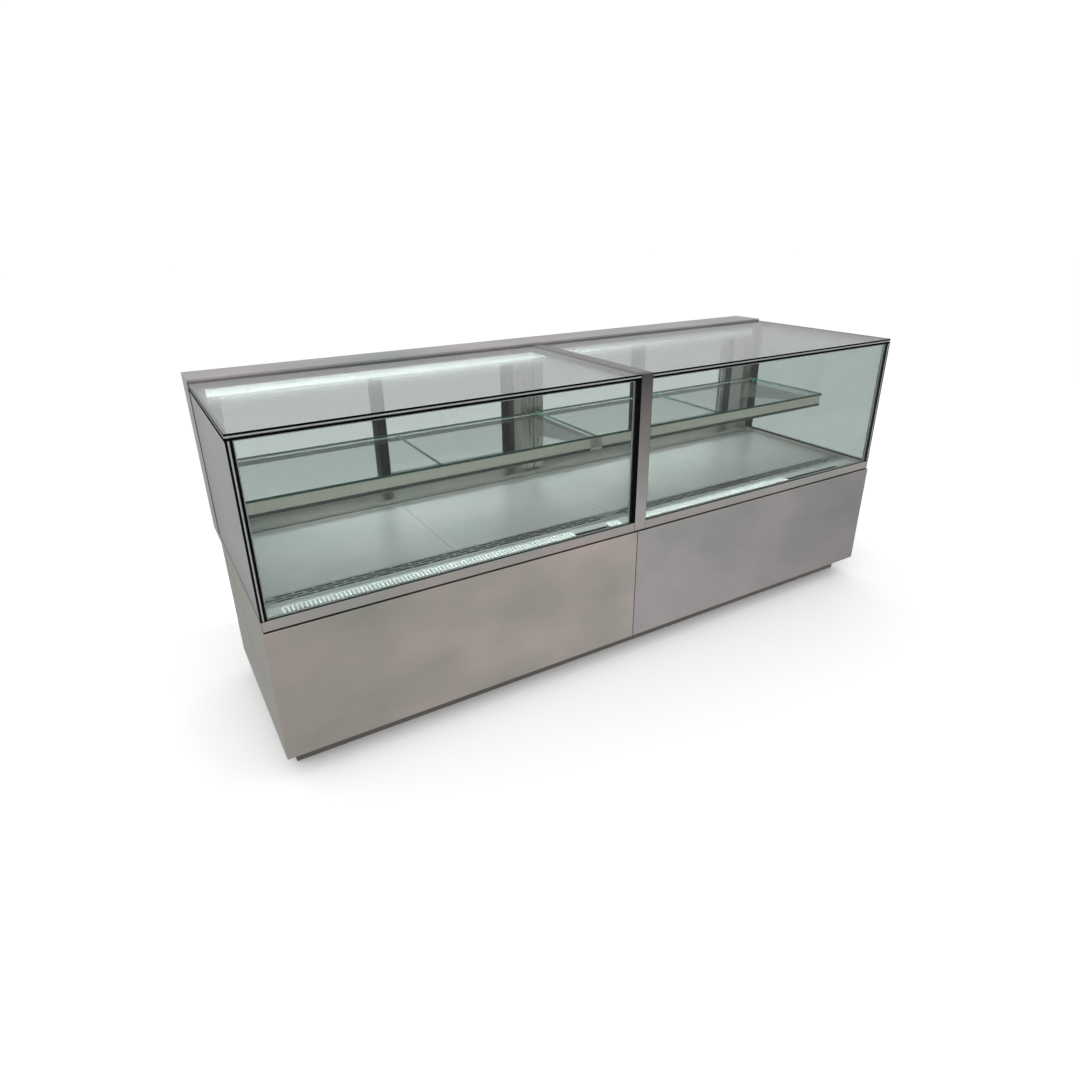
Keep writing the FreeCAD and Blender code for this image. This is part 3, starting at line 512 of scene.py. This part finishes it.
def steel_parts():
    """Each stainless material with the nodes that it is for."""
    # Painted reflection of the room: each front panel has its own tone and a tone that changes along x.
    left_shade = panel_shade("left_front_panel", left_tone=0.94, right_tone=1.08)
    right_shade = panel_shade("right_front_panel", left_tone=1.04, right_tone=0.76)
    return {
        brushed_steel("steel_along_x", STEEL, "x"): ["glass_sills", "rear_ledges", "shelf_brackets"],
        brushed_steel("steel_along_z", STEEL, "z"): ["rear_posts", "shelf_standards"],
        brushed_steel("deck_steel", STEEL_DECK, "x", roughness=0.3, metallic=0.77): ["deck_pans"],
        # Painted shade: the grille steel is a little darker than the deck, for the shade among its slots.
        brushed_steel("grille_steel", STEEL_GRILLE, "x", roughness=0.32): ["air_grilles"],
        # Painted highlight: lighter, less metallic steel makes the covers a bright strip.
        brushed_steel("cover_steel_painted_highlight", STEEL_COVER_HIGHLIGHT, "x", roughness=0.3, metallic=0.65): [
            "discharge_covers"],
        # Painted shade: the toe kicks, headers and rear service panels stand back in shade.
        brushed_steel("dark_steel_painted_shade", STEEL_SHADED, "x", roughness=0.42): [
            "toe_kick_boards", "rear_headers", "rear_service_panels"],
        brushed_steel("left_panel_steel", STEEL_LEFT, "x", mottling=0.20, edge=PANEL_FOLD,
                      shade=left_shade): ["left_front_panel"],
        brushed_steel("right_panel_steel", STEEL_RIGHT, "x", mottling=0.16, edge=PANEL_FOLD,
                      shade=right_shade): ["right_front_panel"],
        brushed_steel("cap_steel", STEEL_CAP, "x", roughness=0.32, mottling=0.22): ["rear_caps"],
        brushed_steel("post_steel", STEEL_POST, "z", shade=post_shade()): ["center_front_post"],
        brushed_steel("end_steel", STEEL_END, "y"): ["end_panels"],
        brushed_steel("top_rail_steel", STEEL_TOP_RAIL, "y"): ["center_top_rail"],
    }


def metal_parts():
    """Each zinc, aluminium or copper material with the nodes that it is for."""
    return {
        galvanised("zinc", ZINC): [
            "base_frame", "machine_floor_pans", "condensate_pans", "condenser_fan_shrouds",
            "evaporator_fan_panels", "leveling_feet", "panel_screws"],
        anodised("anodised_aluminium", ALUMINIUM): [
            "door_tracks", "light_housings", "condenser_fan_1", "condenser_fan_2"],
        anodised("door_aluminium", DOOR_ALUMINIUM, "z", bands=door_bands()): [
            "door_1_frame", "door_2_frame", "door_3_frame", "door_4_frame"],
        # The rails carry a painted shadow strip under the front and painted shade at the rear.
        anodised("shelf_trim", TRIM, roughness=0.5, metallic=0.25, bands=rail_bands()): [
            "shelf_rails"],
        anodised("coil_fins", FINS, "z", roughness=0.45): ["evaporator_coils", "condenser_coils"],
        spacer_bar("spacer_aluminium", SPACER_SILVER): ["glass_spacers"],
        copper("copper"): ["refrigerant_lines"],
    }


def plastic_parts():
    """Each rubber, plastic or enamel material with the nodes that it is for."""
    return {
        rubber("seal_rubber", BLACK, BEAD_GREY): ["glass_seals"],
        moulded_plastic("black_plastic", BLACK_PLASTIC, roughness=0.38): [
            "door_jambs", "control_panels", "light_switch_1", "light_switch_2", "power_inlets",
            "evaporator_fan_1", "evaporator_fan_2", "fan_motors"],
        # The glow is the LED strips' own light, and a painted glow on the discharge honeycombs, which are
        # no lamps.
        moulded_plastic("white_plastic", WHITE_PLASTIC, roughness=0.45, glow=0.14): [
            "discharge_honeycombs", "led_strips"],
        moulded_plastic("liner", LINER, roughness=0.5): ["insulated_tanks"],
        painted("black_enamel", BLACK_ENAMEL): ["compressors"],
    }


def glass_parts():
    """Each glass or lens material with the nodes that it is for."""
    return {
        lit_lens("opal_lens", LENS_GLOW, strength=3.4): ["light_lenses"],
        glass("front_glass", "y", PANE_TINT, BLACK_EDGE): ["left_front_glass", "right_front_glass"],
        glass("top_glass", "z", PANE_TINT, BLACK_EDGE): ["top_glass"],
        glass("end_glass", "x", PANE_TINT, BLACK_EDGE, borders=end_borders()): ["end_glass"],
        glass("door_glass", "y", PANE_TINT, GREEN_EDGE): [
            "door_1_glass", "door_2_glass", "door_3_glass", "door_4_glass"],
        glass("shelf_glass", "z", PANE_TINT, GREEN_EDGE): ["shelf_glass_panes"],
    }


def dress():
    """Give every CAD node its material, and stop if one is left without."""
    dressed = set()
    for parts in (steel_parts(), metal_parts(), plastic_parts(), glass_parts()):
        for material, names in parts.items():
            for name in names:
                for material_slot in NODES[name].material_slots:
                    material_slot.material = material
                dressed.add(name)
    missing = set(NODES) - dressed
    assert not missing, missing


# ---- floor ----
FLOOR_REACH = 30.0
FLOOR_TONES = (0.98, 0.995)


def floor():
    """A plain pale floor, which reflections don't show."""
    mesh = bpy.data.meshes.new("floor")
    corners = [(x * FLOOR_REACH, y * FLOOR_REACH, 0) for x, y in ((-1, -1), (1, -1), (1, 1), (-1, 1))]
    mesh.from_pydata(corners, [], [(0, 1, 2, 3)])
    plane = bpy.data.objects.new("floor", mesh)
    bpy.context.collection.objects.link(plane)
    plane.visible_glossy = False
    shader = Shader("floor")
    grain = shader.noise(scale=3.0, detail=3.0)
    tone = shader.blend(grain, *(grey(value) for value in FLOOR_TONES))
    mesh.materials.append(shader.finish(shader.principled(Base_Color=tone, Roughness=0.9)))


# ---- light ----
ROOM_LIGHT = 1.05
REFLECTED_FLOOR = 0.42
REFLECTED_CEILING = 0.70
REFLECTED_SPAN = (-0.35, 0.45)
KEY_PLACE = (-2.5, -3.5, 3.6)
KEY_TARGET = (0, 0, 0.5)
KEY_SIZE = (3.0, 2.0)
KEY_POWER = 60
BAR_SIZE = (1.1, 0.03)
BAR_POWER = 20
BAR_COLOR = (1.0, 0.985, 0.985)
BAR_FORWARD = 0.01
BAR_DROP = 0.02
BAR_TARGET_FORWARD = 0.35
BAR_TARGET_HEIGHT = 0.3


def area_light(name, place, target, size, power, color=(1, 1, 1)):
    """A rectangular light at a place, turned to its target."""
    data = bpy.data.lights.new(name, "AREA")
    data.shape = "RECTANGLE"
    data.size, data.size_y = size
    data.energy = power
    data.color = color
    light = bpy.data.objects.new(name, data)
    light.location = place
    light.rotation_euler = (Vector(target) - Vector(place)).to_track_quat("-Z", "Y").to_euler()
    bpy.context.collection.objects.link(light)
    return light


def room():
    """An even white room; in reflections its floor side is dimmer than its ceiling side."""
    world = bpy.data.worlds.new("studio")
    bpy.context.scene.world = world
    world.use_nodes = True
    nodes = Nodes(world.node_tree)
    background = world.node_tree.nodes["Background"]
    background.inputs["Color"].default_value = grey(1.0)
    direction = nodes.add("ShaderNodeTexCoord").outputs["Generated"]
    rise = nodes.component(direction, "z")
    reflected = nodes.ramp(rise, REFLECTED_SPAN, (REFLECTED_FLOOR, REFLECTED_CEILING))
    is_reflection = nodes.add("ShaderNodeLightPath").outputs["Is Glossy Ray"]
    strength = nodes.ramp(is_reflection, (0.0, 1.0), (ROOM_LIGHT, reflected))
    nodes.link(strength, background.inputs["Strength"])


def bar_lights():
    """A soft light under each section's lens, for its glow on the shelf and deck."""
    low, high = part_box("light_lenses")
    for sign in (-1, 1):
        x = sign * high.x / 2
        place = (x, low.y - BAR_FORWARD, low.z - BAR_DROP)
        target = (x, low.y - BAR_TARGET_FORWARD, BAR_TARGET_HEIGHT)
        bar = area_light("bar", place, target, BAR_SIZE, BAR_POWER, BAR_COLOR)
        bar.visible_camera = False
        bar.visible_glossy = False


# ---- camera ----
CAMERA_PLACE = (-1.3981, -2.0975, 1.4482)
CAMERA_AZIMUTH = 30.70
CAMERA_ELEVATION = -23.94
CAMERA_ROLL = -0.707
LENS = 23.37
SENSOR_WIDTH = 36.0
SHIFT = (0.0027, -0.0074)
FAR_CLIP = 200.0
PANES_IN_LINE = 64


def camera():
    """The camera, at the photo's viewing angle."""
    azimuth = math.radians(CAMERA_AZIMUTH)
    elevation = math.radians(CAMERA_ELEVATION)
    roll = math.radians(CAMERA_ROLL)
    level = math.cos(elevation)
    forward = Vector((math.sin(azimuth) * level, math.cos(azimuth) * level, math.sin(elevation)))
    right = forward.cross(Vector((0, 0, 1))).normalized()
    up = right.cross(forward)
    side = right * math.cos(roll) + up * math.sin(roll)
    top = up * math.cos(roll) - right * math.sin(roll)
    data = bpy.data.cameras.new("camera")
    data.lens = LENS
    data.sensor_width = SENSOR_WIDTH
    data.shift_x, data.shift_y = SHIFT
    data.clip_end = FAR_CLIP
    view = bpy.data.objects.new("camera", data)
    rotation = Matrix((side, top, -forward)).transposed().to_4x4()
    view.matrix_world = Matrix.Translation(CAMERA_PLACE) @ rotation
    bpy.context.collection.objects.link(view)
    bpy.context.scene.camera = view


def plain_view():
    """Colours as they are, and light through all the panes that stand in line."""
    scene = bpy.context.scene
    scene.view_settings.view_transform = "Standard"
    scene.cycles.transparent_max_bounces = PANES_IN_LINE


camera()
floor()
room()
area_light("key", KEY_PLACE, KEY_TARGET, KEY_SIZE, KEY_POWER)
bar_lights()
plain_view()
dress()
